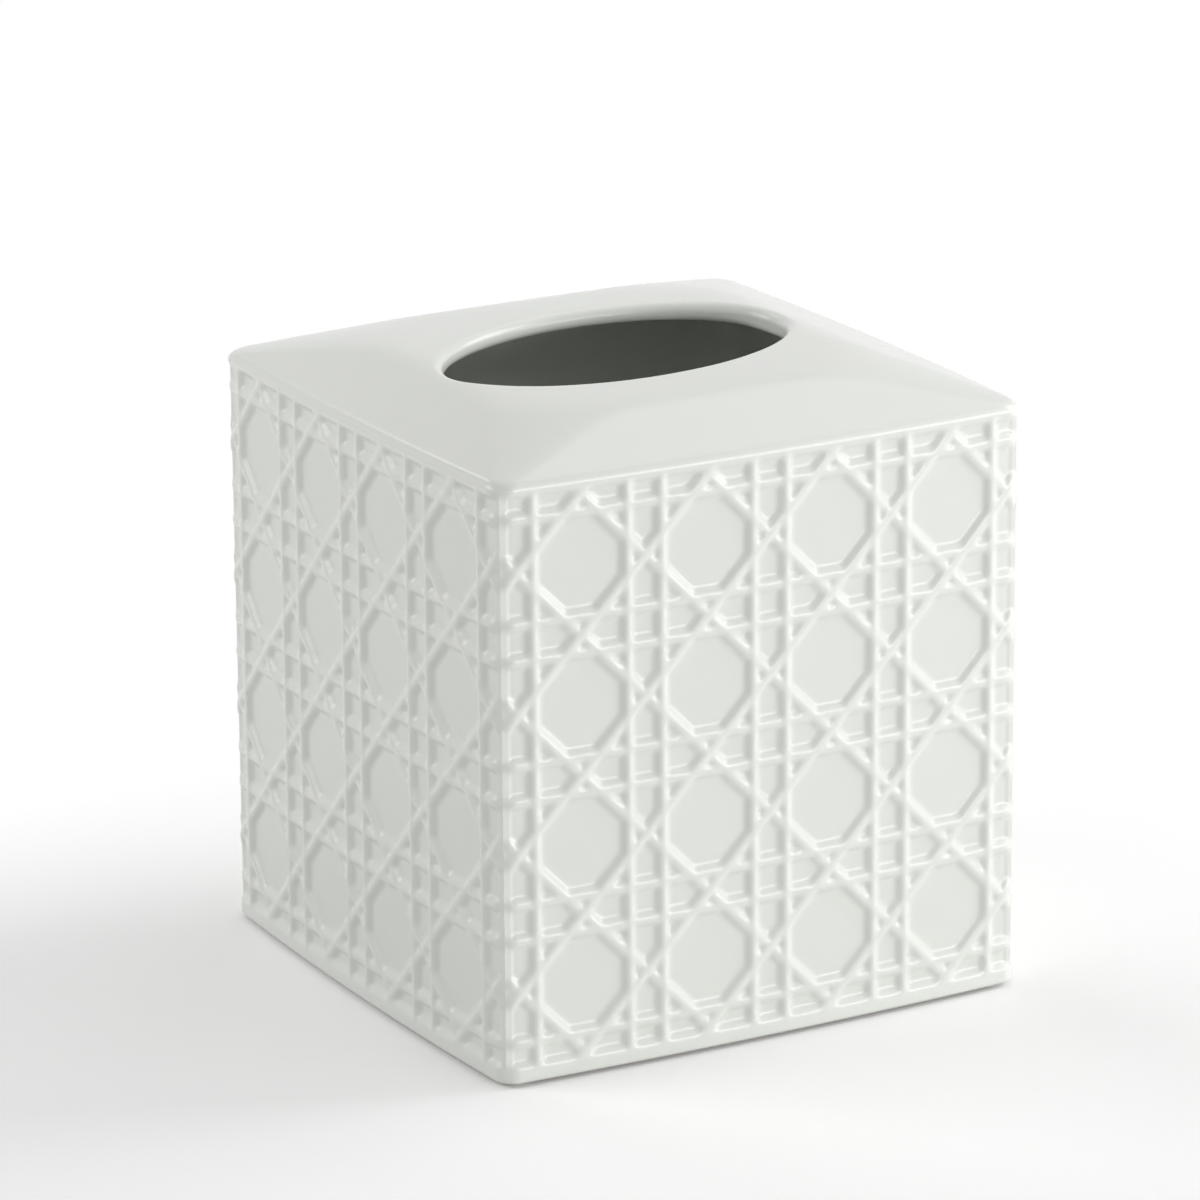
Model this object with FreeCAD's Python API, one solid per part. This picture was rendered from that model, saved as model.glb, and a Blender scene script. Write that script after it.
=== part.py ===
import FreeCAD, Part
import math
import os

from FreeCAD import Vector

os.makedirs("parts", exist_ok=True)

# Tissue box cover. A slip-cast porcelain cube, open below, is set down over a
# cube carton of tissues. The sheets are drawn through the oval mouth in its
# crowned top. The relief of woven cane runs round all four walls.
# Millimetres, +Z up, front wall facing -Y, origin on the floor under the middle.

# Driving dimensions of the body
width = 142.8              # X, over the middle of the left and right walls
depth = 142.8              # Y, over the middle of the front and back walls
bow = 2.0                  # how far each wall bows outwards in its middle
wall_top = 142.5           # floor to the top of the upright walls
wall = 5.5                 # wall thickness, measured from the relief crests
top_thickness = 4.2        # thickness of the crowned top, measured upright
corner_radius = 4.5        # outer upright corners, in plan
inner_corner_radius = 12.0  # inner upright corners, wide so that a pad fits below
foot_bevel = 0.9           # outer edge of the foot
foot_inner_bevel = 0.6     # inner edge of the foot

# Driving dimensions of the crowned top
rim_radius = 1.2           # small roll from the wall into the crown
bevel_slope = 19.5         # degrees from level, from the rim inwards
bevel_run = 14.2           # the slope keeps straight as far in as this
bend_run = 13.0            # then it bends over this distance
plateau_slope = 2.3        # degrees from level where the bend ends
crown_run = 46.0           # level from here to the middle
hip_softening = 0.35       # growth of the plan corner radius per mm of inset
rim_steps = 3

# Driving dimensions of the oval mouth
mouth_length = 90.0
mouth_width = 56.0
mouth_turn = 9.5           # degrees, long axis of the mouth against X
lip_bevel = 1.0            # edge of the mouth, above and below

# Driving dimensions of the cane relief
columns = 4                # octagon eyes across each wall
rows = 4                   # octagon eyes up each wall
pair_gap = 8.7             # between the two strands of a pair, centre to centre
strand_crest = 2.4         # width of a strand along its crest
relief_depth = 1.3         # crest of the strands to the sunk floors
flank_run = 0.9            # how far a strand widens from its crest to the floor
foot_band = 2.3            # plain band between the foot and the first pockets
rim_band = 0.2             # plain band between the last pockets and the wall top

# Driving dimensions of the foot pads
pad_diameter = 6.4
pad_height = 0.8
pad_inset = 7.2            # pad centre from the middle of each of the two nearest walls

# Sizes that follow from the driving ones
half_width = width / 2
half_depth = depth / 2
relief_bottom = pad_height + foot_band - strand_crest / 2   # middle of the lowest strand
relief_top = wall_top - rim_band + strand_crest / 2         # middle of the highest strand
overshoot = 1.0                                             # how far cutting shapes reach past a face


# Plan of the body: four bowed walls that run smoothly into four corner arcs

def bow_radius(half_length):
    """Radius of a bowed wall of this half length. Shorter walls inside keep the same curve."""
    local_bow = max(bow, 0.01) * (half_length / half_width) ** 2
    return (half_length ** 2 + local_bow ** 2) / (2 * local_bow)


def corner_centre(half_x, half_y, radius):
    """Middle of the corner arc that touches both bowed walls, for the corner at +X and +Y."""
    radius_x = bow_radius(half_y)
    radius_y = bow_radius(half_x)
    x = half_x - radius
    y = half_y - radius
    for repeat in range(30):
        x = half_x - radius_x + math.sqrt((radius_x - radius) ** 2 - y ** 2)
        y = half_y - radius_y + math.sqrt((radius_y - radius) ** 2 - x ** 2)
    return x, y


def corner_points(half_x, half_y, radius):
    """Start, middle and end of the corner arc at +X and +Y, from the X wall to the Y wall."""
    x, y = corner_centre(half_x, half_y, radius)
    lean_x = math.asin(y / (bow_radius(half_y) - radius))
    lean_y = math.asin(x / (bow_radius(half_x) - radius))
    points = []
    for angle in (lean_x, (lean_x + math.pi / 2 - lean_y) / 2, math.pi / 2 - lean_y):
        points.append((x + radius * math.cos(angle), y + radius * math.sin(angle)))
    return points


def plan_wire(half_x, half_y, radius, z):
    """A closed wire of four bowed walls and four corner arcs, level at height z."""
    radius = min(radius, 0.9 * min(half_x, half_y))
    first, middle, last = corner_points(half_x, half_y, radius)
    corners = []
    for sign_x, sign_y in ((1, 1), (-1, 1), (-1, -1), (1, -1)):
        corner = [Vector(sign_x * x, sign_y * y, z) for x, y in (first, middle, last)]
        if sign_x * sign_y < 0:
            corner.reverse()
        corners.append(corner)
    middles = ((0, half_y), (-half_x, 0), (0, -half_y), (half_x, 0))
    wall_middles = [Vector(x, y, z) for x, y in middles]
    edges = []
    for index, (start, middle, end) in enumerate(corners):
        edges.append(Part.Arc(start, middle, end).toShape())
        edges.append(Part.Arc(end, wall_middles[index], corners[(index + 1) % 4][0]).toShape())
    return Part.Wire(edges)


# Profile of the crown

def crown_rise(inset):
    """Rise over the end of the roll, for a level line this far in from it."""
    steep = math.tan(math.radians(bevel_slope))
    gentle = math.tan(math.radians(plateau_slope))
    on_bevel = min(inset, bevel_run)
    on_bend = min(max(inset - bevel_run, 0), bend_run)
    plateau_run = crown_run - bevel_run - bend_run
    on_plateau = min(max(inset - bevel_run - bend_run, 0), plateau_run)
    wave = bend_run / math.pi * math.sin(math.pi * on_bend / bend_run)
    bend_rise = gentle * on_bend + (steep - gentle) * (on_bend + wave) / 2
    plateau_rise = gentle * (on_plateau - on_plateau ** 2 / (2 * plateau_run))
    return steep * on_bevel + bend_rise + plateau_rise


def rim_roll():
    """Pairs of inset and rise of the roll, from the wall to the bevel."""
    pairs = []
    for step in range(rim_steps + 1):
        angle = math.radians(90 - bevel_slope) * step / rim_steps
        pairs.append((rim_radius * (1 - math.cos(angle)), rim_radius * math.sin(angle)))
    return pairs


def crown_profile():
    """Pairs of inset and rise above the end of the roll, from there to the middle."""
    roll_inset, roll_rise = rim_roll()[-1]
    stations = [0.0, bevel_run / 2, bevel_run]
    stations += [bevel_run + bend_run * share for share in (0.25, 0.5, 0.75, 1.0)]
    stations += [(bevel_run + bend_run + crown_run) / 2, crown_run]
    return [(roll_inset + inset, roll_rise + crown_rise(inset)) for inset in stations]


def crowned_block(half_x, half_y, radius, bottom, top):
    """A block with rounded upright corners that carries the roll and the crown on its top."""
    plan = Part.Face(plan_wire(half_x, half_y, radius, bottom))
    block = plan.extrude(Vector(0, 0, top - bottom))
    lofts = []
    for profile, ruled in ((rim_roll(), True), (crown_profile(), False)):
        sections = []
        for inset, rise in profile:
            level_radius = radius + hip_softening * inset
            sections.append(plan_wire(half_x - inset, half_y - inset, level_radius, top + rise))
        lofts.append(Part.makeLoft(sections, True, ruled, False, 3))
    return block.fuse(lofts)


# Body: outer block less the hollow less the mouth

outer = crowned_block(half_width, half_depth, corner_radius, pad_height, wall_top)
hollow = crowned_block(half_width - wall, half_depth - wall, inner_corner_radius,
                       pad_height - overshoot, wall_top - top_thickness)

mouth_floor = wall_top - top_thickness - overshoot
mouth_reach = crown_profile()[-1][1] + top_thickness + 2 * overshoot
mouth_oval = Part.Ellipse(Vector(0, 0, mouth_floor), mouth_length / 2, mouth_width / 2)
mouth = Part.Face(Part.Wire(mouth_oval.toShape())).extrude(Vector(0, 0, mouth_reach))
mouth.rotate(Vector(0, 0, 0), Vector(0, 0, 1), mouth_turn)
shell = outer.cut(hollow).cut(mouth)
print("shell before bevels: volume", round(shell.Volume / 1000, 1), "cm3, valid", shell.isValid())


# Edges: the lip of the mouth and the foot are bevelled

def on_mouth(point):
    turn = math.radians(mouth_turn)
    along = point.x * math.cos(turn) + point.y * math.sin(turn)
    across = point.y * math.cos(turn) - point.x * math.sin(turn)
    reach = (along / (mouth_length / 2)) ** 2 + (across / (mouth_width / 2)) ** 2
    return abs(reach - 1) < 0.01


def edge_points(edge):
    first, last = edge.FirstParameter, edge.LastParameter
    return [edge.valueAt(first + (last - first) * share) for share in (0.0, 0.5, 1.0)]


def lip_edges(shape):
    """Edges that run round the mouth; the upright seam of its wall is left out."""
    found = []
    for edge in shape.Edges:
        points = edge_points(edge)
        heights = [point.z for point in points]
        level = max(heights) - min(heights) < 0.5 * top_thickness
        if level and all(on_mouth(point) for point in points):
            found.append(edge)
    return found


def foot_edges(shape):
    """Edges of the foot, the outer ring and the inner ring apart."""
    outer_ring = []
    inner_ring = []
    for edge in shape.Edges:
        points = edge_points(edge)
        if all(abs(point.z - pad_height) < 1e-4 for point in points):
            middle = points[1]
            inset = min(half_width - abs(middle.x), half_depth - abs(middle.y))
            if inset < 0.8 * wall:
                outer_ring.append(edge)
            else:
                inner_ring.append(edge)
    return outer_ring, inner_ring


shell = shell.makeChamfer(lip_bevel, lip_edges(shell))
outer_ring, inner_ring = foot_edges(shell)
shell = shell.makeChamfer(foot_bevel, outer_ring)
outer_ring, inner_ring = foot_edges(shell)
shell = shell.makeChamfer(foot_inner_bevel, inner_ring)


# Cane relief: pockets sunk between the strands, wall by wall
# A cell of the weave is a list of limits (normal_u, normal_v, reach), each one the
# middle line of a strand; u is measured along the bowed wall and v up it. The pocket
# is the cell drawn in by half a strand.

def unit_limit(normal_u, normal_v, point_u, point_v):
    length = math.hypot(normal_u, normal_v)
    normal_u, normal_v = normal_u / length, normal_v / length
    return normal_u, normal_v, normal_u * point_u + normal_v * point_v


def box_limits(centre_u, centre_v, reach_u, reach_v):
    return [
        unit_limit(1, 0, centre_u + reach_u, centre_v),
        unit_limit(-1, 0, centre_u - reach_u, centre_v),
        unit_limit(0, 1, centre_u, centre_v + reach_v),
        unit_limit(0, -1, centre_u, centre_v - reach_v),
    ]


def cell_outline(limits, inset):
    """Corner points of the area that keeps the inset from every limit."""
    far = 4 * max(width, depth, wall_top)
    outline = [(-far, -far), (far, -far), (far, far), (-far, far)]
    for normal_u, normal_v, reach in limits:
        kept = []
        for index, (u, v) in enumerate(outline):
            next_u, next_v = outline[(index + 1) % len(outline)]
            here = normal_u * u + normal_v * v - (reach - inset)
            there = normal_u * next_u + normal_v * next_v - (reach - inset)
            if here <= 0:
                kept.append((u, v))
            if here * there < 0:
                share = here / (here - there)
                kept.append((u + (next_u - u) * share, v + (next_v - v) * share))
        outline = kept
    return outline


def working_limits(limits, inset):
    """The limits that still bound the area when it is drawn in by the inset."""
    outline = cell_outline(limits, inset)
    working = []
    for normal_u, normal_v, reach in limits:
        touching = [abs(normal_u * u + normal_v * v - (reach - inset)) < 1e-6 for u, v in outline]
        if sum(touching) > 1:
            working.append((normal_u, normal_v, reach))
    return working


def weave_cells(span):
    """All cells of one wall whose length between the corner strands is the span."""
    pitch_u = (span - pair_gap) / columns
    pitch_v = (relief_top - relief_bottom - pair_gap) / rows
    middle_v = (relief_top + relief_bottom) / 2
    half_gap = pair_gap / 2
    eye_u = (pitch_u - pair_gap) / 2
    eye_v = (pitch_v - pair_gap) / 2
    pair_u = [(k - columns / 2) * pitch_u for k in range(columns + 1)]
    pair_v = [middle_v + (k - rows / 2) * pitch_v for k in range(rows + 1)]
    column_u = [(k - (columns - 1) / 2) * pitch_u for k in range(columns)]
    row_v = [middle_v + (k - (rows - 1) / 2) * pitch_v for k in range(rows)]
    cells = []
    for u in column_u:
        for v in row_v:
            eye = box_limits(u, v, eye_u, eye_v)
            for sign_u in (-1, 1):
                for sign_v in (-1, 1):
                    eye.append(unit_limit(sign_u * pitch_v, sign_v * pitch_u, u + sign_u * pitch_u / 2, v))
            cells.append(eye)
    for u in pair_u:
        for v in pair_v:
            cells.append(box_limits(u, v, half_gap, half_gap))
    for sign in (-1, 1):
        for u in pair_u:
            for v in row_v:
                gap = box_limits(u, v, half_gap, eye_v)
                gap.append(unit_limit(pitch_v, -sign * pitch_u, u, v))
                gap.append(unit_limit(-pitch_v, -sign * pitch_u, u, v))
                cells.append(gap)
        for u in column_u:
            for v in pair_v:
                gap = box_limits(u, v, eye_u, half_gap)
                gap.append(unit_limit(-sign * pitch_v, pitch_u, u, v))
                gap.append(unit_limit(-sign * pitch_v, -pitch_u, u, v))
                cells.append(gap)
    return cells


def flat_face(corners):
    return Part.Face(Part.makePolygon(corners + corners[:1]))


def pocket(limits, wall_distance, wall_radius):
    """A tapered plug with flat faces in the front wall, square to the wall where it sits."""
    floor_inset = strand_crest / 2 + flank_run
    mouth_depth = -relief_depth / 3
    mouth_inset = strand_crest / 2 + flank_run * mouth_depth / relief_depth
    limits = working_limits(limits, floor_inset)
    floor_outline = cell_outline(limits, floor_inset)
    middle_u = sum(u for u, v in floor_outline) / len(floor_outline)
    lean = middle_u / wall_radius
    along = Vector(math.cos(lean), math.sin(lean), 0)
    inward = Vector(-math.sin(lean), math.cos(lean), 0)
    base = Vector(wall_radius * math.sin(lean), wall_radius * (1 - math.cos(lean)) - wall_distance, 0)
    rings = []
    for inset, below in ((mouth_inset, mouth_depth), (floor_inset, relief_depth)):
        ring = []
        for u, v in cell_outline(limits, inset):
            ring.append(base + along * (u - middle_u) + inward * below + Vector(0, 0, v))
        rings.append(ring)
    outside, floor = rings
    faces = [flat_face(outside), flat_face(floor[::-1])]
    for index in range(len(floor)):
        after = (index + 1) % len(floor)
        faces.append(flat_face([outside[after], outside[index], floor[index], floor[after]]))
    plug = Part.Solid(Part.Shell(faces))
    if plug.Volume < 0:
        plug.reverse()
    return plug


upright = Vector(0, 0, 1)
pockets = []
for quarter in range(4):
    across, outward = half_width, half_depth
    if quarter % 2 == 1:
        across, outward = half_depth, half_width
    wall_radius = bow_radius(across)
    corner_x, corner_y = corner_centre(across, outward, corner_radius)
    corner_lean = math.asin(corner_x / (wall_radius - corner_radius))
    corner_strand = wall_radius * corner_lean + corner_radius * (math.pi / 4 - corner_lean)
    for limits in weave_cells(2 * corner_strand):
        plug = pocket(limits, outward, wall_radius)
        plug.rotate(Vector(0, 0, 0), upright, 90 * quarter)
        pockets.append(plug)
shell = shell.cut(pockets)
print("pockets", len(pockets), "shell volume", round(shell.Volume / 1000, 1), "cm3, valid", shell.isValid(),
      "solids", len(shell.Solids))


# Foot pads and files

def foot_pad(x, y):
    pad = Part.makeCylinder(pad_diameter / 2, pad_height, Vector(x, y, 0))
    lower = [edge for edge in pad.Edges if edge.BoundBox.ZMax < 0.1 * pad_height]
    return pad.makeChamfer(0.3 * pad_height, lower)


pad_x = half_width - pad_inset
pad_y = half_depth - pad_inset
nodes = {
    "cover_shell": shell.Solids[0],
    "foot_pad_front_left": foot_pad(-pad_x, -pad_y),
    "foot_pad_front_right": foot_pad(pad_x, -pad_y),
    "foot_pad_back_left": foot_pad(-pad_x, pad_y),
    "foot_pad_back_right": foot_pad(pad_x, pad_y),
}
for name, shape in nodes.items():
    shape.exportStep("parts/" + name + ".step")
    box = shape.BoundBox
    print(name, "x", round(box.XMin, 2), round(box.XMax, 2), "y", round(box.YMin, 2), round(box.YMax, 2),
          "z", round(box.ZMin, 2), round(box.ZMax, 2), "valid", shape.isValid())
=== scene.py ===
# %% [markdown]
# A tissue box cover in glazed porcelain
#
# The real cover is one hollow casting, open below, which is set down over a cube
# carton of tissues. Its walls carry a relief of woven cane, its crowned top has an
# oval mouth, and four soft pads sit under its foot. The solids of the frame are
# loaded first and stay where they are. The porcelain is modelled again here, finer,
# as four walls and a crown that meet edge to edge, so that each mesh stays light.

# %% Load the frame
import math

import bpy
import numpy as np
from mathutils import Matrix, Vector


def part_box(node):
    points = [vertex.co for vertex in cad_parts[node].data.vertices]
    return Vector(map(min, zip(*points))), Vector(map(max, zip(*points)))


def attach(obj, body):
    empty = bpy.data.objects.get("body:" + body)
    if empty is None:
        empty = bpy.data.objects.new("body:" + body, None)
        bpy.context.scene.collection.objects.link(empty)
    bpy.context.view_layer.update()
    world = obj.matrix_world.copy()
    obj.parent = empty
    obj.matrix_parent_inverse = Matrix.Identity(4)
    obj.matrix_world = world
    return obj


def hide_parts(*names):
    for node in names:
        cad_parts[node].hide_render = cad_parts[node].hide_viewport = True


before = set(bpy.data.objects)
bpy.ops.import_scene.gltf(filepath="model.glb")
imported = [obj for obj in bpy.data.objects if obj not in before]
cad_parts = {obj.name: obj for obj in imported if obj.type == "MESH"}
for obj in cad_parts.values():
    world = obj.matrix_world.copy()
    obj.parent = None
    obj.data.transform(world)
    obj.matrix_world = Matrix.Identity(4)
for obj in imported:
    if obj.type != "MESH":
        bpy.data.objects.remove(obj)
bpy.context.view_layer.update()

shell_low, shell_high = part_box("cover_shell")

# %% [markdown]
# Sizes of the body
#
# The overall sizes come from the frame. The other sizes are the ones that a potter
# would write beside the drawing: wall, corners, foot. They are given in metres,
# through a millimetre, because ware of this kind is measured in millimetres. The
# walls bow outwards a little. A Lattice could bow them, but one short formula does it
# to walls and crown alike, so that their edges still meet.

# %% Sizes of the body
MM = 0.001
bow = 2.0 * MM                            # how far each wall bows outwards in its middle
half = shell_high.x - bow                 # middle of the cover to a wall, before the walls bow
foot = shell_low.z                        # underside of the foot, which stands on pads
wall_top = 141.4 * MM                     # the straight walls end here
wall = 5.5 * MM                           # wall thickness from the crests
top_thickness = 4.2 * MM
corner_radius = 4.5 * MM
inner_corner_radius = 12.0 * MM
foot_rounding = 1.2 * MM
foot_inner_rounding = 0.8 * MM
inner_half = half - wall
inner_top = wall_top - top_thickness
corner_line = half - corner_radius * (1 - math.sqrt(0.5))    # middle of a corner, seen square on
print("half width", round(half / MM, 2), "mm, corner line", round(corner_line / MM, 2), "mm")


# %% The bow of the walls
def bowed(points):
    """Swells the squared-up cover, so that each wall bows outwards and the corners stay."""
    x, y, z = np.asarray(points).T
    swell_x = 1 + bow / half * (1 - (y / half) ** 2)
    swell_y = 1 + bow / half * (1 - (x / half) ** 2)
    return np.stack([x * swell_x, y * swell_y, z], axis=1)


print("each wall bows out by", round(bow / MM, 2), "mm")

# %% [markdown]
# Small helpers
#
# An operator acts on everything that is selected, so each step begins by clearing
# the selection. Points are read and written as one array, because a wall has many
# thousands of them.

# %% Helpers
def only(piece):
    """Leaves one object selected and active, in object mode."""
    bpy.ops.object.select_all(action='DESELECT')
    piece.select_set(True)
    bpy.context.view_layer.objects.active = piece


def read_points(piece):
    flat = np.empty(len(piece.data.vertices) * 3)
    piece.data.vertices.foreach_get("co", flat)
    return flat.reshape(-1, 3)


def write_points(piece, points):
    piece.data.vertices.foreach_set("co", np.asarray(points, dtype=float).ravel())
    piece.data.update()


def select_points(piece, chosen):
    """Selects vertices by a row of true and false, and what lies between them, in edit mode."""
    bpy.ops.object.mode_set(mode='EDIT')
    bpy.ops.mesh.select_mode(type='VERT')
    bpy.ops.mesh.select_all(action='DESELECT')
    bpy.ops.object.mode_set(mode='OBJECT')
    piece.data.vertices.foreach_set("select", np.asarray(chosen, dtype=bool))
    bpy.ops.object.mode_set(mode='EDIT')
    bpy.ops.mesh.select_mode(type='EDGE')


def new_grid(name, cells_x, cells_y, size_x, size_y, middle=(0, 0, 0)):
    """A flat sheet of square cells, added at its size and place."""
    bpy.ops.object.select_all(action='DESELECT')
    bpy.ops.mesh.primitive_grid_add(x_subdivisions=cells_x, y_subdivisions=cells_y, size=1.0)
    sheet = bpy.context.object
    sheet.name = name
    sheet.data.name = name
    bpy.ops.object.mode_set(mode='EDIT')
    bpy.ops.transform.resize(value=(size_x, size_y, 1))
    bpy.ops.transform.translate(value=middle)
    bpy.ops.object.mode_set(mode='OBJECT')
    return sheet


def apply_modifier(piece, kind, **settings):
    modifier = piece.modifiers.new(kind.lower(), kind)
    for key, value in settings.items():
        setattr(modifier, key, value)
    only(piece)
    bpy.ops.object.modifier_apply(modifier=modifier.name)


# %% [markdown]
# The cane pattern
#
# Caning has four sets of strands: upright pairs, level pairs, and two sets of
# diagonals that cross midway between the pairs and leave eight-sided eyes. The eyes
# could be cut into a plain wall as pockets, but then no strand would pass over
# another. So the strands are laid out flat on a board, as a model maker would, with X
# along the wall and Y up it. The wall face is at Z = 0 and the floor of the eyes lies
# below it.

# %% Sizes of the cane pattern
eyes = 4                                  # eyes across a wall, and up it
pair_gap = 8.7 * MM                       # between the two strands of a pair
pitch_x = 32.4 * MM                       # from one pair of uprights to the next
relief_depth = 1.4 * MM                   # crest to floor
crest_half = 0.6 * MM                     # half of a strand's width along its crest
flank = 1.35 * MM                         # from the edge of the crest down to the floor
broad_crest_half = 0.8 * MM               # the level strands and the diagonals are broader
band_crest_half = 2.9 * MM                # and the bands at the rim and the foot broader still
crest_rise = 0.08 * MM                    # the crest is a little rounded
low_strand = foot + 1.1 * MM              # middle of the lowest level strand
high_strand = wall_top + 2.1 * MM         # middle of the highest level strand
pitch_y = (high_strand - low_strand - pair_gap) / eyes
middle_y = (high_strand + low_strand) / 2
corner_sink = 0.2 * MM                    # a strand runs up the middle of each corner
level_sink = 0.22 * MM                    # the level strands pass under the uprights
rising_sink = 0.08 * MM                   # the rising diagonals lie just below the uprights
falling_sink = 0.12 * MM                  # and the falling ones just below those
falling_dip = 0.5 * MM                    # they dip by this much under the rising ones
dip_run = 2.2 * MM                        # within about this distance of the crossing
section_cells = 24                        # cells across a strand
length_cell = 1.0 * MM                    # length of a cell along it
print("pitch", round(pitch_x / MM, 2), "by", round(pitch_y / MM, 2), "mm")


# %% One strand
def section(distance, crest):
    """Depth of a strand's face below its crest: nearly flat on top, with rounded flanks."""
    distance = np.abs(distance)
    down_the_flank = np.clip((distance - crest) / flank, 0, 1)
    on_the_crest = np.clip(distance / crest, 0, 1)
    return crest_rise * on_the_crest ** 2 + relief_depth * (1 - np.cos(math.pi * down_the_flank)) / 2


def new_strand(name, length, sink, crest=crest_half, dip=0.0, dip_pitch=1.0):
    """A strand along X through the origin, its crest at the given depth below the wall face."""
    strand = new_grid(name, round(length / length_cell), section_cells, length, 2 * (crest + flank))
    points = read_points(strand)
    along = points[:, 0]
    nearest = along - np.round(along / dip_pitch) * dip_pitch
    dips = dip * np.exp(-(nearest / dip_run) ** 2)
    points[:, 2] = -sink - dips - section(points[:, 1], crest)
    write_points(strand, points)
    return strand


print("strand", round(2 * (crest_half + flank) / MM, 2), "mm wide where it meets the floor")


# %% Place and repeat a strand
def place(piece, x, y, angle):
    """Turns a strand on the board and moves it to its place."""
    only(piece)
    piece.rotation_euler.z = angle
    piece.location = (x, y, 0)
    bpy.ops.object.transform_apply(location=True, rotation=True, scale=False)


def repeat(piece, count, x, y):
    apply_modifier(piece, 'ARRAY', count=count, use_relative_offset=False, use_constant_offset=True,
                   constant_offset_displace=(x, y, 0))


# %% [markdown]
# Lay the strands
#
# One strand of each set is modelled and repeated with an Array modifier, since all
# strands of a set are alike. The uprights lie highest. The level strands, the
# diagonals and the strand up the middle of each corner lie a little lower, so that
# each crossing shows which one is on top. The falling diagonals also dip at every
# crossing with the rising ones. A broad band at full height finishes the foot, and
# another the rim.

# %% Lay the strands
board_length = 1.6 * 2 * half             # longer than a wall, so that no strand ends on it
slope = math.atan2(pitch_y, pitch_x)
diagonal_step = math.hypot(pitch_x, pitch_y) / 2
strands = []
for side in (-1, 1):
    first_upright = -eyes / 2 * pitch_x + (pair_gap / 2 if side > 0 else pitch_x - pair_gap / 2)
    upright = new_strand("upright", board_length, 0.0)
    place(upright, first_upright, middle_y, math.pi / 2)
    repeat(upright, eyes, pitch_x, 0)
    level = new_strand("level", board_length, level_sink, broad_crest_half)
    place(level, 0, middle_y - eyes / 2 * pitch_y + side * pair_gap / 2, 0)
    repeat(level, eyes + 1, 0, pitch_y)
    corner = new_strand("corner", board_length, corner_sink)
    place(corner, side * corner_line, middle_y, math.pi / 2)
    strands += [upright, level, corner]
for edge in (low_strand, high_strand):
    band = new_strand("band", board_length, 0.0, band_crest_half)
    place(band, 0, edge, 0)
    strands.append(band)
for direction, sink, dip in ((1, rising_sink, 0.0), (-1, falling_sink, falling_dip)):
    diagonal = new_strand("diagonal", 2 * board_length, sink, broad_crest_half, dip, diagonal_step)
    place(diagonal, -eyes * pitch_x, middle_y + pitch_y / 2, direction * slope)
    repeat(diagonal, 2 * eyes + 1, pitch_x, 0)
    strands.append(diagonal)
board = new_grid("cane_board", 2, 2, board_length, board_length, (0, middle_y, -relief_depth))
bpy.ops.object.select_all(action='DESELECT')
for strand in strands:
    strand.select_set(True)
board.select_set(True)
bpy.context.view_layer.objects.active = board
bpy.ops.object.join()
print("board of strands:", len(board.data.polygons), "faces")

# %% [markdown]
# Press one wall over the strands
#
# The strands could be joined by Boolean, but that leaves a sharp crease at every
# crossing. Instead a fine sheet is dropped onto the board with Shrinkwrap, the way
# slip takes the form of a mould, and then smoothed, because glaze rounds every edge
# and fills small corners. The depth is kept as an attribute, so that shade can be
# painted into the hollows, darker the deeper they are. The lower edge is then extruded
# round the foot and up the inside.

# %% Press the sheet
sheet_columns = 292
sheet_rows = 298
sheet_low = foot + foot_rounding
sheet_height = wall_top - sheet_low
seam_strip = 0.04 * MM                    # a hair-wide last column keeps the seam smooth
glaze_passes = 9
edge_hold = 0.3 * MM                      # the sheet keeps level this near to foot and rim
sheet_start = 3 * relief_depth            # it starts clear above the strands
wall_front = new_grid("wall_front", sheet_columns, sheet_rows, 2 * corner_line, sheet_height,
                      (0, sheet_low + sheet_height / 2, sheet_start))
points = read_points(wall_front)
cell_width = 2 * corner_line / sheet_columns
next_to_seam = np.abs(np.abs(points[:, 0]) - (corner_line - cell_width)) < cell_width / 4
points[next_to_seam, 0] = np.sign(points[next_to_seam, 0]) * (corner_line - seam_strip)
write_points(wall_front, points)
apply_modifier(wall_front, 'SHRINKWRAP', wrap_method='PROJECT', target=board, use_project_z=True,
               use_negative_direction=True, use_positive_direction=False)
apply_modifier(wall_front, 'SMOOTH', factor=0.5, iterations=glaze_passes, use_x=False, use_y=False)
bpy.data.objects.remove(board)
points = read_points(wall_front)
points[:, 2] -= points[:, 2].max()
points[np.abs(points[:, 1] - wall_top) < edge_hold, 2] = 0.0
points[np.abs(points[:, 1] - sheet_low) < edge_hold, 2] = 0.0
write_points(wall_front, points)
# the depth sets how much shade is painted into the hollows
depth_layer = wall_front.data.attributes.new("hollow_depth", 'FLOAT', 'POINT')
depth_layer.data.foreach_set("value", np.clip(-points[:, 2] / relief_depth, 0, 1))
print("wall sheet:", len(points), "points, deepest", round(-points[:, 2].min() / MM, 3), "mm")


# %% Fold the sheet under the foot and up the inside
foot_steps = 5                            # folds in the outer rounding of the foot
inner_foot_steps = 3                      # and in the inner one
same_place = 0.001 * MM                   # points nearer than this to a line lie on it


def foot_path():
    """Height and depth of each fold, from the outer face round the foot to the inner top."""
    path = [(sheet_low, 0.0)]
    for step in range(1, foot_steps + 1):
        angle = math.pi / 2 * step / foot_steps
        path.append((sheet_low - foot_rounding * math.sin(angle), foot_rounding * (1 - math.cos(angle))))
    flat_end = wall - foot_inner_rounding
    path.append((foot, flat_end))
    for step in range(1, inner_foot_steps + 1):
        angle = math.pi / 2 * step / inner_foot_steps
        path.append((foot + foot_inner_rounding * (1 - math.cos(angle)),
                     flat_end + foot_inner_rounding * math.sin(angle)))
    path.append((inner_top, wall))
    return path


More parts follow.
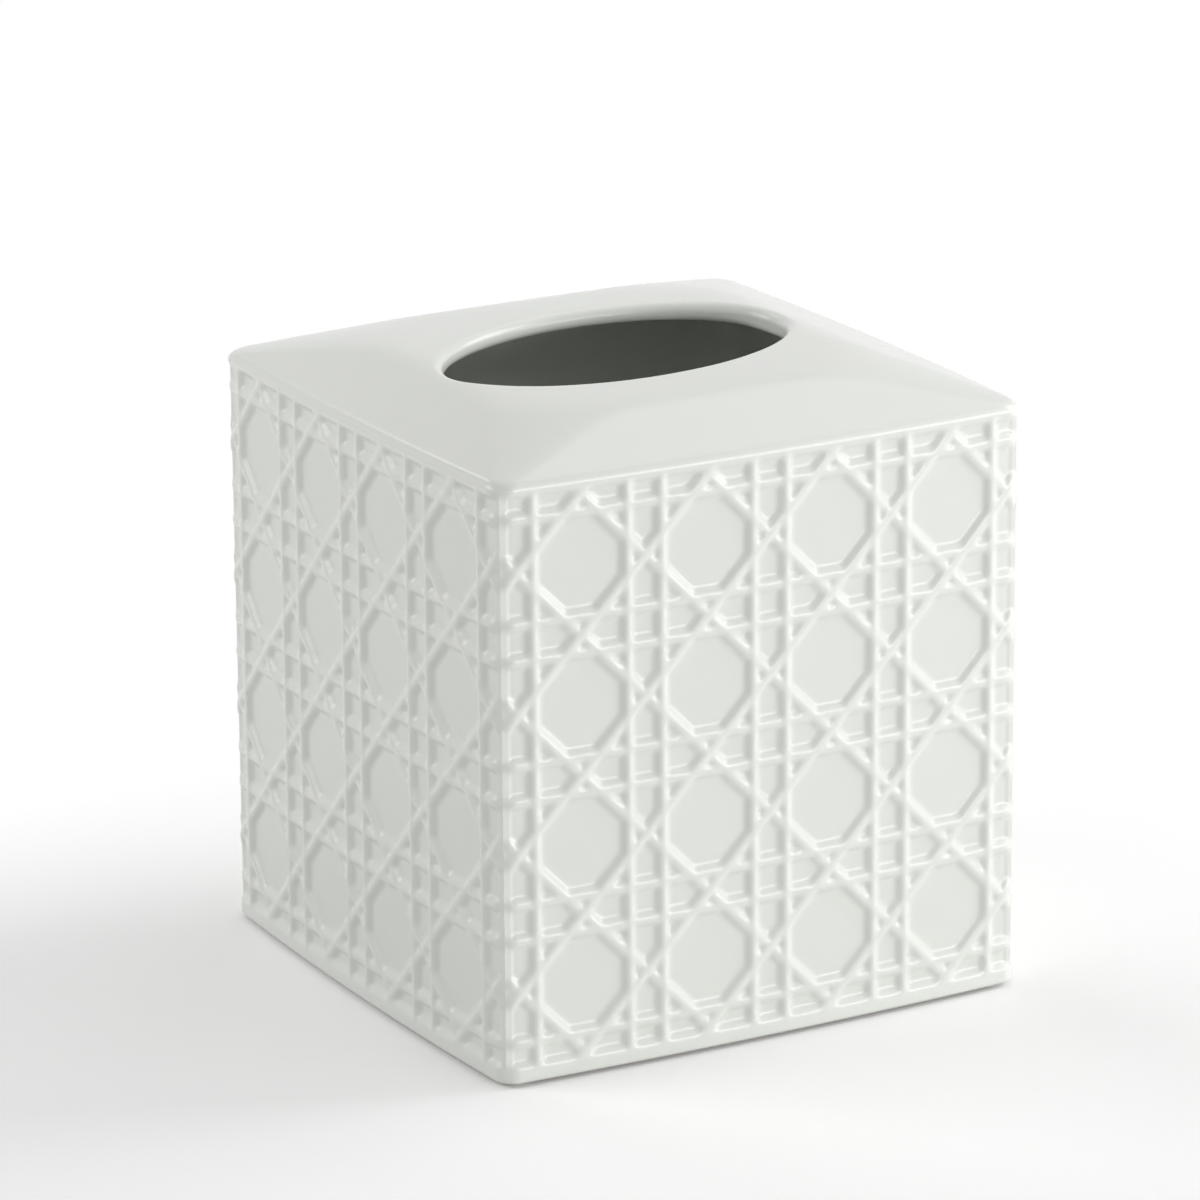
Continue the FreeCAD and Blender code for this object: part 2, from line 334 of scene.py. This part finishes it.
select_points(wall_front, points[:, 1] < sheet_low + same_place)
path = foot_path()
for (height, depth), (next_height, next_depth) in zip(path, path[1:]):
    bpy.ops.mesh.extrude_edges_move(
        TRANSFORM_OT_translate={"value": (0, next_height - height, depth - next_depth)})
bpy.ops.object.mode_set(mode='OBJECT')
points = read_points(wall_front)
inner_edge = (np.abs(points[:, 1] - inner_top) < same_place) & (points[:, 2] < same_place - wall)
outer_edge = (np.abs(points[:, 1] - wall_top) < same_place) & (points[:, 2] > -same_place)
select_points(wall_front, inner_edge | outer_edge)
bpy.ops.mesh.bridge_edge_loops()
bpy.ops.mesh.select_all(action='SELECT')
bpy.ops.mesh.fill_holes(sides=0)
bpy.ops.object.mode_set(mode='OBJECT')
print("folded sheet:", len(wall_front.data.polygons), "faces")

# %% [markdown]
# Wrap the sheet round the corners
#
# The flat sheet becomes the front wall. Its two ends run round the corners to the
# middle of each corner, where the next wall takes over. A Curve modifier would bend
# both faces alike, but the inside has a wider corner than the outside, so points are
# led from the outer line to the inner line by their depth. Last, the wall is given
# its bow. The other three walls are turned copies.

# %% Wrap the wall and copy it
shallow = 1.6 * MM                        # the relief keeps square to the outer face down to here
wall_crease = math.radians(70)            # edges sharper than this stay sharp in the shading


def wrapped(points):
    """Leads the points of the flat sheet round the two front corners."""
    across, height, depth = points[:, 0], points[:, 1], -points[:, 2]
    sign = np.sign(across)
    reach = np.abs(across)
    flat_reach = half - corner_radius
    over = np.clip(reach - flat_reach, 0, None)
    lean = np.arcsin(np.clip(over / corner_radius, 0, 1))
    outer_out = flat_reach + corner_radius * np.cos(lean)
    shallow_depth = np.minimum(depth, shallow)
    x_outer = reach - shallow_depth * np.sin(lean)
    y_outer = outer_out - shallow_depth * np.cos(lean)
    inner_flat = inner_half - inner_corner_radius
    turn = np.clip((reach - inner_flat) / (corner_line - inner_flat), 0, 1) * math.pi / 4
    x_inner = np.minimum(reach, inner_flat) + inner_corner_radius * np.sin(turn)
    y_inner = inner_flat + inner_corner_radius * np.cos(turn)
    deep = np.clip((depth - shallow) / (wall - shallow), 0, 1)
    x_wall = sign * (x_outer + (x_inner - x_outer) * deep)
    y_wall = -(y_outer + (y_inner - y_outer) * deep)
    return np.stack([x_wall, y_wall, height], axis=1)


write_points(wall_front, bowed(wrapped(read_points(wall_front))))
only(wall_front)
bpy.ops.object.mode_set(mode='EDIT')
bpy.ops.mesh.select_all(action='SELECT')
bpy.ops.mesh.normals_make_consistent(inside=False)
bpy.ops.object.mode_set(mode='OBJECT')
bpy.ops.object.shade_smooth_by_angle(angle=wall_crease)
walls = [wall_front]
for quarter, name in enumerate(("wall_right", "wall_back", "wall_left"), start=1):
    only(wall_front)
    bpy.ops.object.duplicate()
    copy = bpy.context.object
    copy.name = name
    copy.data.name = name
    copy.rotation_euler.z = quarter * math.pi / 2
    bpy.ops.object.transform_apply(location=False, rotation=True, scale=False)
    walls.append(copy)
print("walls:", [piece.name for piece in walls])

# %% [markdown]
# The crowned top
#
# The top is a low roof: a small roll leads from the wall into a straight slope, which
# bends softly into a nearly level middle, and the four hips fade out. It could be
# bevelled from a block, but its rim has to lie exactly on the walls. So its level
# lines are drawn as rounded squares whose corners soften inwards, and the height at
# any point follows from how far in its level line lies. One long sheet is rolled up
# into the whole crown: over the top, round the lip of the mouth, along the underside
# and back to the rim. The oval mouth is not quite square to the walls.

# %% Height of the crown
rim_radius = 2.4 * MM
bevel_slope = math.radians(19.5)          # the slope from the rim inwards
bevel_run = 14.2 * MM                     # it keeps straight as far in as this
bend_run = 13.0 * MM                      # then it bends over this distance
plateau_slope = math.radians(2.3)         # into this slope
crown_run = 46.0 * MM                     # which has become level here
hip_softening = 0.95                      # growth of the plan corner radius with the inset
roll_inset = rim_radius * (1 - math.sin(bevel_slope))
roll_rise = rim_radius * math.cos(bevel_slope)


def rise_at(inset):
    """Rise above the wall for a level line that lies this far in."""
    inset = np.asarray(inset)
    roll = np.sqrt(np.clip(rim_radius ** 2 - (rim_radius - inset) ** 2, 0, None))
    steep, gentle = math.tan(bevel_slope), math.tan(plateau_slope)
    plateau_run = crown_run - bevel_run - bend_run
    on_bevel = np.clip(inset - roll_inset, 0, bevel_run)
    on_bend = np.clip(inset - roll_inset - bevel_run, 0, bend_run)
    on_plateau = np.clip(inset - roll_inset - bevel_run - bend_run, 0, plateau_run)
    wave = bend_run / math.pi * np.sin(math.pi * on_bend / bend_run)
    bend = gentle * on_bend + (steep - gentle) * (on_bend + wave) / 2
    plateau = gentle * (on_plateau - on_plateau ** 2 / (2 * plateau_run))
    return np.where(inset < roll_inset, roll, roll_rise + steep * on_bevel + bend + plateau)


def inset_at(x, y, half_size, radius):
    """How far in from the wall the level line through a point lies."""
    straight = half_size - np.maximum(np.abs(x), np.abs(y))
    past_x = np.abs(x) - (half_size - radius)
    past_y = np.abs(y) - (half_size - radius)
    growth = 1 + hip_softening
    # in a corner the inset solves a quadratic equation, with these three terms
    square = 2 * growth ** 2 - hip_softening ** 2
    linear = 2 * growth * (past_x + past_y) - 2 * hip_softening * radius
    rest = past_x ** 2 + past_y ** 2 - radius ** 2
    root = np.sqrt(np.clip(linear ** 2 - 4 * square * rest, 0, None))
    corner = (root - linear) / (2 * square)
    in_corner = (past_x + growth * corner > 0) & (past_y + growth * corner > 0)
    return np.where(in_corner, corner, straight)


def top_at(x, y):
    return wall_top + rise_at(inset_at(x, y, half, corner_radius))


def under_at(x, y):
    return inner_top + rise_at(inset_at(x, y, inner_half, inner_corner_radius))


print("crown middle at", round(float(top_at(0.0, 0.0)) / MM, 2), "mm")

# %% Level lines of the crown
side_cells = 64                           # cells along a side of a level line
corner_cells = 40                         # and round one of its corners
level_reach = 12.0 * MM                   # level lines are followed this far in, then the oval
roll_steps = 12                           # rings on the roll at the rim
slope_steps = 14                          # and from there to the last level line
hair = 0.0001 * MM                        # a hair-wide first strip keeps the seam smooth


def rounded_square(half_size, radius):
    """Points round a level line, the same number on every line."""
    points = []
    for corner in range(4):
        start = -math.pi / 2 + corner * math.pi / 2
        middle_x = (half_size - radius) * (1 if corner in (0, 1) else -1)
        middle_y = (half_size - radius) * (1 if corner in (1, 2) else -1)
        for step in range(corner_cells):
            angle = start + math.pi / 2 * step / corner_cells
            points.append((middle_x + radius * math.cos(angle), middle_y + radius * math.sin(angle)))
        end = start + math.pi / 2
        last = Vector((middle_x + radius * math.cos(end), middle_y + radius * math.sin(end)))
        along = Vector((math.cos(end + math.pi / 2), math.sin(end + math.pi / 2)))
        for step in range(side_cells):
            point = last + along * (2 * (half_size - radius) * step / side_cells)
            points.append((point.x, point.y))
    return np.array(points)


def ring(plan, heights):
    return np.column_stack([plan, np.broadcast_to(heights, len(plan))])


def level_ring(inset, half_size, radius, base):
    plan = rounded_square(half_size - inset, radius + hip_softening * inset)
    return ring(plan, base + rise_at(inset))


def shoulder_insets():
    """Insets of the level lines: close together in the roll, wider on the slope."""
    roll = [rim_radius * (1 - math.cos(angle))
            for angle in np.linspace(0, math.pi / 2 - bevel_slope, roll_steps + 1)]
    slope_insets = list(np.linspace(roll_inset, level_reach, slope_steps + 1)[1:])
    return roll[:1] + [hair] + roll[1:] + slope_insets


rim_plan = rounded_square(half, corner_radius)
print("level lines:", len(shoulder_insets()), "of", len(rim_plan), "points")

# %% The oval mouth
swelling = 1 + bow / half                 # the mouth grows by this when the walls bow
mouth_length = 92.5 * MM / swelling
mouth_width = 58.0 * MM / swelling
mouth_turn = math.radians(9.5)            # long axis of the mouth against X
upper_lip = 2.3 * MM                      # rounding of the lip above
lower_lip = 1.8 * MM                      # and below
heading = np.arctan2(rim_plan[:, 1], rim_plan[:, 0]) - mouth_turn
oval = np.column_stack([np.cos(heading) * mouth_length / 2, np.sin(heading) * mouth_width / 2])
outward = np.column_stack([np.cos(heading) / mouth_length, np.sin(heading) / mouth_width])
outward /= np.linalg.norm(outward, axis=1)[:, None]
along_x, along_y = math.cos(mouth_turn), math.sin(mouth_turn)
turn_back = np.array([[along_x, along_y], [-along_y, along_x]])
oval = oval @ turn_back
outward = outward @ turn_back
print("mouth", round(mouth_length * swelling / MM, 1), "by", round(mouth_width * swelling / MM, 1), "mm")


# %% Rings of the crown
top_steps = 26                            # rings from the last level line to the lip above
under_steps = 20                          # and below
lip_steps = 10                            # rings in each half of the lip


def lean_at_mouth(surface, rounding):
    """Slope of a surface as it climbs towards the mouth, as an angle."""
    away = oval + outward * rounding
    return np.arctan((surface(*oval.T) - surface(*away.T)) / rounding)


def swell_rings(surface, half_size, radius, mouth_plan, count):
    """Rings on a surface, from the last level line to the edge of the lip."""
    start = rounded_square(half_size - level_reach, radius + hip_softening * level_reach)
    rings = []
    for step in range(1, count + 1):
        plan = start + (mouth_plan - start) * step / count
        rings.append(ring(plan, surface(*plan.T)))
    return rings


top_lean = lean_at_mouth(top_at, upper_lip)
under_lean = lean_at_mouth(under_at, lower_lip)
top_edge = top_at(*oval.T)
under_edge = under_at(*oval.T)
rings = [level_ring(inset, half, corner_radius, wall_top) for inset in shoulder_insets()]
lip_start = oval + outward * (upper_lip * (1 + np.sin(top_lean)))[:, None]
rings += swell_rings(top_at, half, corner_radius, lip_start, top_steps)
upper_middle = top_edge - upper_lip * (np.tan(top_lean) + 1 / np.cos(top_lean))
for step in range(1, lip_steps + 1):
    turn = -top_lean + (math.pi / 2 + top_lean) * step / lip_steps
    plan = oval + outward * (upper_lip * (1 - np.sin(turn)))[:, None]
    rings.append(ring(plan, upper_middle + upper_lip * np.cos(turn)))
lower_middle = under_edge + lower_lip * (1 / np.cos(under_lean) - np.tan(under_lean))
for step in range(lip_steps + 1):
    turn = (math.pi / 2 - under_lean) * step / lip_steps
    plan = oval + outward * (lower_lip * (1 - np.cos(turn)))[:, None]
    rings.append(ring(plan, lower_middle - lower_lip * np.sin(turn)))
under_rings = swell_rings(under_at, inner_half, inner_corner_radius, rings[-1][:, :2], under_steps)
rings += under_rings[:-1][::-1]
rings += [level_ring(inset, inner_half, inner_corner_radius, inner_top)
          for inset in shoulder_insets()[::-1]]
print("crown rings:", len(rings), "of", len(rim_plan), "points")

# %% Roll the sheet into the crown
ring_points = len(rim_plan)
merge_reach = 1e-8                        # only points that coincide are merged
crown_crease = math.radians(60)           # edges sharper than this stay sharp in the shading
crown = new_grid("crown", ring_points, len(rings), 1.0, 1.0)
points = read_points(crown)
column = np.round((points[:, 0] + 0.5) * ring_points).astype(int) % ring_points
row = np.round((points[:, 1] + 0.5) * len(rings)).astype(int) % len(rings)
write_points(crown, bowed(np.array(rings)[row, column]))
only(crown)
bpy.ops.object.mode_set(mode='EDIT')
bpy.ops.mesh.select_all(action='SELECT')
bpy.ops.mesh.remove_doubles(threshold=merge_reach)
bpy.ops.mesh.normals_make_consistent(inside=False)
bpy.ops.object.mode_set(mode='OBJECT')
bpy.ops.object.shade_smooth_by_angle(angle=crown_crease)
print("crown:", len(crown.data.polygons), "faces")


# %% [markdown]
# The glaze
#
# White porcelain under a gloss glaze is not one flat colour. Shade is painted into the
# hollows of the relief, darker and a little greener the deeper they lie, and painted
# shade makes the walls inside greyer and darker. The foot is wiped bare. The gloss
# changes a little from place to place, and the surface is never quite level. A picture
# could be wrapped round the cover, but noise in Object coordinates, in metres, has no
# seams and stays on the piece.

# %% Helpers for materials
def new_material(name):
    material = bpy.data.materials.new(name)
    material.use_nodes = True
    tree = material.node_tree
    shader = next(node for node in tree.nodes if node.type == 'BSDF_PRINCIPLED')
    return material, tree, shader


def add_node(tree, kind, inputs=(), **settings):
    node = tree.nodes.new(kind)
    for key, value in settings.items():
        setattr(node, key, value)
    for socket, value in dict(inputs).items():
        if isinstance(value, bpy.types.NodeSocket):
            tree.links.new(value, node.inputs[socket])
        else:
            node.inputs[socket].default_value = value
    return node


def calculate(tree, operation, *values):
    return add_node(tree, 'ShaderNodeMath', dict(enumerate(values)), operation=operation).outputs[0]


def noise(tree, where, scale):
    """Soft noise, with the scale in cells to the metre."""
    return add_node(tree, 'ShaderNodeTexNoise', {'Vector': where, 'Scale': scale}).outputs['Fac']


def mix_colour(tree, factor, first, second):
    node = add_node(tree, 'ShaderNodeMix', data_type='RGBA')
    for socket, value in (('Factor_Float', factor), ('A_Color', first), ('B_Color', second)):
        target = next(item for item in node.inputs if item.identifier == socket)
        if isinstance(value, bpy.types.NodeSocket):
            tree.links.new(value, target)
        else:
            target.default_value = value
    return next(item for item in node.outputs if item.identifier == 'Result_Color')


def to_range(tree, value, low, high, from_low=0.0, from_high=1.0):
    return add_node(tree, 'ShaderNodeMapRange', {
        'Value': value, 'From Min': from_low, 'From Max': from_high,
        'To Min': low, 'To Max': high}).outputs['Result']


# %% Where the glaze changes and where shade is painted
inside_reach = half - 2.8 * MM            # lies between the inner walls and the relief
inside_fade = 0.4 * MM
top_fade = 1.0 * MM
bare_height = foot + 0.5 * MM             # the foot is wiped clean of glaze up to here
bare_fade = 0.15 * MM
hollow_shade_share = 0.6                          # how far the deepest hollow takes the painted shade

glaze, tree, shader = new_material("glazed_porcelain")
where = add_node(tree, 'ShaderNodeTexCoord').outputs['Object']
axes = add_node(tree, 'ShaderNodeSeparateXYZ', {'Vector': where}).outputs
out_x = calculate(tree, 'ABSOLUTE', axes['X'])
out_y = calculate(tree, 'ABSOLUTE', axes['Y'])
reach = calculate(tree, 'MAXIMUM', out_x, out_y)
# painted shade inside: the walls within the cover and below its top
within = to_range(tree, reach, 1, 0, inside_reach, inside_reach + inside_fade)
below = to_range(tree, axes['Z'], 1, 0, inner_top - top_fade, inner_top)
inside = calculate(tree, 'MULTIPLY', within, below)
bare = to_range(tree, axes['Z'], 1, 0, bare_height - bare_fade, bare_height + bare_fade)
# painted shade in the hollows, by their depth
depth = add_node(tree, 'ShaderNodeAttribute', attribute_name="hollow_depth").outputs['Fac']
hollow_shade = to_range(tree, depth, 0, hollow_shade_share)
print("glaze masks:", len(tree.nodes), "nodes")

# %% Colour of the glaze
glaze_white = (0.875, 0.891, 0.845, 1)
glaze_cool = (0.86, 0.878, 0.832, 1)
# painted shade for the hollows: darker and a little greener than the glaze
hollow_shade_colour = (0.82, 0.842, 0.79, 1)
inside_shade_colour = (0.75, 0.768, 0.72, 1)     # painted shade on the walls inside
bare_clay = (0.80, 0.785, 0.745, 1)
cloud_scale = 45

colour = mix_colour(tree, noise(tree, where, cloud_scale), glaze_white, glaze_cool)
# painted shade in the hollows, deeper where they are deeper
colour = mix_colour(tree, hollow_shade, colour, hollow_shade_colour)
# painted shade on the walls inside
colour = mix_colour(tree, inside, colour, inside_shade_colour)
colour = mix_colour(tree, bare, colour, bare_clay)
tree.links.new(colour, shader.inputs['Base Color'])
print("glaze colour:", glaze_white, "to", hollow_shade_colour)

# %% Gloss and surface of the glaze
smoothest, roughest = 0.2, 0.27           # roughness of the glaze
gloss_scale = 160
noise_low, noise_high = 0.3, 0.7          # most of the noise lies between these
bare_roughness = 0.8
wave_scale, wave_depth, wave_strength = 110, 0.05 * MM, 0.3
peel_scale, peel_depth, peel_strength = 2200, 0.008 * MM, 0.2
glaze_refraction = 1.5

gloss = to_range(tree, noise(tree, where, gloss_scale), smoothest, roughest, noise_low, noise_high)
gloss = add_node(tree, 'ShaderNodeMix', {'Factor': bare, 'A': gloss, 'B': bare_roughness})
tree.links.new(gloss.outputs['Result'], shader.inputs['Roughness'])
wave = add_node(tree, 'ShaderNodeBump', {
    'Strength': wave_strength, 'Distance': wave_depth, 'Height': noise(tree, where, wave_scale)})
peel = add_node(tree, 'ShaderNodeBump', {
    'Strength': peel_strength, 'Distance': peel_depth, 'Height': noise(tree, where, peel_scale),
    'Normal': wave.outputs['Normal']})
tree.links.new(peel.outputs['Normal'], shader.inputs['Normal'])
shader.inputs['IOR'].default_value = glaze_refraction
print("glaze:", len(tree.nodes), "nodes")

# %% [markdown]
# The pads
#
# Small round pads keep the foot off the table. They are punched from soft, milky
# rubber. They could be modelled again with a bevel, but they are hardly seen, so
# their solids from the frame stay and only get a finish.

# %% Pad rubber
rubber_light = (0.66, 0.67, 0.64, 1)
rubber_dark = (0.56, 0.57, 0.54, 1)
rubber_smoothest, rubber_roughest = 0.45, 0.65
rubber_cloud_scale = 900
rubber_gloss_scale = 1500
grain_scale, grain_depth, grain_strength = 3500, 0.02 * MM, 0.3
rubber_glow = 0.1                         # a little light passes through
rubber_glow_depth = (1.0 * MM, 1.0 * MM, 0.9 * MM)

rubber, tree, shader = new_material("pad_rubber")
where = add_node(tree, 'ShaderNodeTexCoord').outputs['Object']
colour = mix_colour(tree, noise(tree, where, rubber_cloud_scale), rubber_light, rubber_dark)
tree.links.new(colour, shader.inputs['Base Color'])
gloss = to_range(tree, noise(tree, where, rubber_gloss_scale), rubber_smoothest, rubber_roughest)
tree.links.new(gloss, shader.inputs['Roughness'])
grain = add_node(tree, 'ShaderNodeBump', {
    'Strength': grain_strength, 'Distance': grain_depth, 'Height': noise(tree, where, grain_scale)})
tree.links.new(grain.outputs['Normal'], shader.inputs['Normal'])
shader.inputs['Subsurface Weight'].default_value = rubber_glow
shader.inputs['Subsurface Radius'].default_value = rubber_glow_depth
print("rubber:", len(tree.nodes), "nodes")

# %% [markdown]
# Put the finishes on
#
# The five new pieces are the visible face of one solid. Each carries the glaze and
# rides on the root body, and the frame's own shell is glazed too and hidden. The pads
# stay the frame's own solids, so they need no more than their rubber.

# %% Put the finishes on
for piece in walls + [crown]:
    piece.data.materials.clear()
    piece.data.materials.append(glaze)
    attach(piece, "root")
    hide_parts("cover_shell")
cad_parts["cover_shell"].data.materials.clear()
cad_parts["cover_shell"].data.materials.append(glaze)
for name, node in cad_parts.items():
    if name.startswith("foot_pad"):
        node.data.materials.clear()
        node.data.materials.append(rubber)
print("finished pieces:", [piece.name for piece in walls + [crown]])

# %% [markdown]
# Stage, light and camera
#
# The floor is pale. To the camera it is lighter than it is to the light that bounces
# off it, so it reads as white paper and still holds the shadow. It turns to plain
# white further off, and sooner behind the cover and on its right, where it is painted
# white over the shadows that the lamps cast there. Brighter lamps could do the same,
# but they would burn out the white porcelain. The light is that of a small studio: a
# key lamp on the right, a wide low lamp in front, three weaker ones for the left wall,
# the crown and the lip, and even light from all round.

# %% Rays that show a surface
def seen_rays(tree):
    """One for rays that show a surface to the camera, straight or in a reflection, else nought."""
    kinds = add_node(tree, 'ShaderNodeLightPath').outputs
    straight_or_mirrored = calculate(tree, 'MAXIMUM', kinds['Is Camera Ray'], kinds['Is Glossy Ray'])
    return calculate(tree, 'MAXIMUM', straight_or_mirrored, kinds['Is Transmission Ray'])


plain_white = (1, 1, 1, 1)
print("backdrop colour", plain_white)

# %% Floor
floor_size = 8.0
floor_cells = 8
floor_pale = (0.8, 0.8, 0.8, 1)           # what the light bounces off
floor_seen = (1.16, 1.16, 1.16, 1)        # what the camera sees
near_floor = 0.3                          # the floor keeps its shading out to here
far_floor = 0.6                           # and is plain white paper from here on
side_near, side_far = 0.08, 0.17          # behind the cover and on its right it is painted white sooner, over the lamps' shadows

bpy.ops.object.select_all(action='DESELECT')
bpy.ops.mesh.primitive_grid_add(x_subdivisions=floor_cells, y_subdivisions=floor_cells, size=floor_size)
floor = bpy.context.object
floor.name = "floor"
paper, tree, shader = new_material("floor_paper")
tree.nodes.remove(shader)
output = next(node for node in tree.nodes if node.type == 'OUTPUT_MATERIAL')
where = add_node(tree, 'ShaderNodeTexCoord').outputs['Object']
distance = add_node(tree, 'ShaderNodeVectorMath', {0: where}, operation='LENGTH').outputs['Value']
far = to_range(tree, distance, 0, 1, near_floor, far_floor)
axes = add_node(tree, 'ShaderNodeSeparateXYZ', {'Vector': where}).outputs
# painted light: behind the cover and on its right the floor turns white over the shadows cast there
for axis in ('X', 'Y'):
    far = calculate(tree, 'MAXIMUM', far, to_range(tree, axes[axis], 0, 1, side_near, side_far))
plain = add_node(tree, 'ShaderNodeBsdfDiffuse', {'Color': floor_pale}).outputs[0]
lit = add_node(tree, 'ShaderNodeBsdfDiffuse', {'Color': floor_seen}).outputs[0]
white = add_node(tree, 'ShaderNodeEmission', {'Color': plain_white, 'Strength': 1.0}).outputs[0]
shown = add_node(tree, 'ShaderNodeMixShader', {0: far, 1: lit, 2: white}).outputs[0]
floor_mix = add_node(tree, 'ShaderNodeMixShader', {0: seen_rays(tree), 1: plain, 2: shown}).outputs[0]
tree.links.new(floor_mix, output.inputs['Surface'])
floor.data.materials.append(paper)
print("floor", floor_size, "m")

# %% Even light from all round
ambient = 0.31
world = bpy.data.worlds.new("studio")
bpy.context.scene.world = world
world.use_nodes = True
tree = world.node_tree
sky = next(node for node in tree.nodes if node.type == 'BACKGROUND')
output = next(node for node in tree.nodes if node.type == 'OUTPUT_WORLD')
sky.inputs['Color'].default_value = plain_white
sky.inputs['Strength'].default_value = ambient
backdrop = add_node(tree, 'ShaderNodeBackground', {'Color': plain_white, 'Strength': 1.0}).outputs[0]
studio = add_node(tree, 'ShaderNodeMixShader', {0: seen_rays(tree), 1: sky.outputs[0], 2: backdrop})
tree.links.new(studio.outputs[0], output.inputs['Surface'])
print("light from all round:", ambient)

# %% Soft lamps
aim = Vector((0, 0, 70 * MM))             # the lamps point at the middle of the cover
lamp_distance = 1.3


def soft_lamp(name, position, width, height, power):
    lamp = bpy.data.lights.new(name, 'AREA')
    lamp.shape = 'RECTANGLE'
    lamp.size = width
    lamp.size_y = height
    lamp.energy = power
    holder = bpy.data.objects.new(name, lamp)
    bpy.context.collection.objects.link(holder)
    holder.location = position
    holder.rotation_euler = (aim - Vector(position)).to_track_quat('-Z', 'Y').to_euler()
    return holder


def round_about(turn, lift):
    """A place round the cover: degrees from the right-hand side towards the front, and upwards."""
    turn, lift = math.radians(turn), math.radians(lift)
    level = math.cos(lift)
    return aim + lamp_distance * Vector((math.cos(turn) * level, -math.sin(turn) * level, math.sin(lift)))


lamps = [
    soft_lamp("key_lamp", round_about(11, 29), width=0.7, height=0.6, power=6.0),
    soft_lamp("front_lamp", round_about(59, 8), width=1.2, height=0.35, power=7.95),
    soft_lamp("left_lamp", round_about(206, 30), width=0.7, height=0.7, power=5.2),
    soft_lamp("back_lamp", round_about(330, 55), width=0.8, height=0.8, power=1.45),
    soft_lamp("rim_lamp", round_about(262, 42), width=0.35, height=0.35, power=0.9),
]
print("lamps:", [lamp.name for lamp in lamps])

# %% Camera
camera_place = Vector((-722.2, -1295.0, 543.4)) * MM
look_azimuth = math.radians(28.98)        # the way the camera faces, from +Y towards +X
look_down = math.radians(17.07)
camera_roll = math.radians(-0.46)
lens = 195.7                              # in millimetres, as is the sensor
sensor = 36.0
camera = bpy.data.objects.new("camera", bpy.data.cameras.new("camera"))
bpy.context.collection.objects.link(camera)
camera.data.lens = lens
camera.data.sensor_width = sensor
camera.location = camera_place
turned = Matrix.Rotation(-look_azimuth, 3, 'Z') @ Matrix.Rotation(math.pi / 2 - look_down, 3, 'X')
camera.rotation_euler = (turned @ Matrix.Rotation(camera_roll, 3, 'Z')).to_euler()
bpy.context.scene.camera = camera
bpy.context.scene.view_settings.view_transform = 'Standard'
print("camera", round(camera_place.length, 3), "m from the origin")
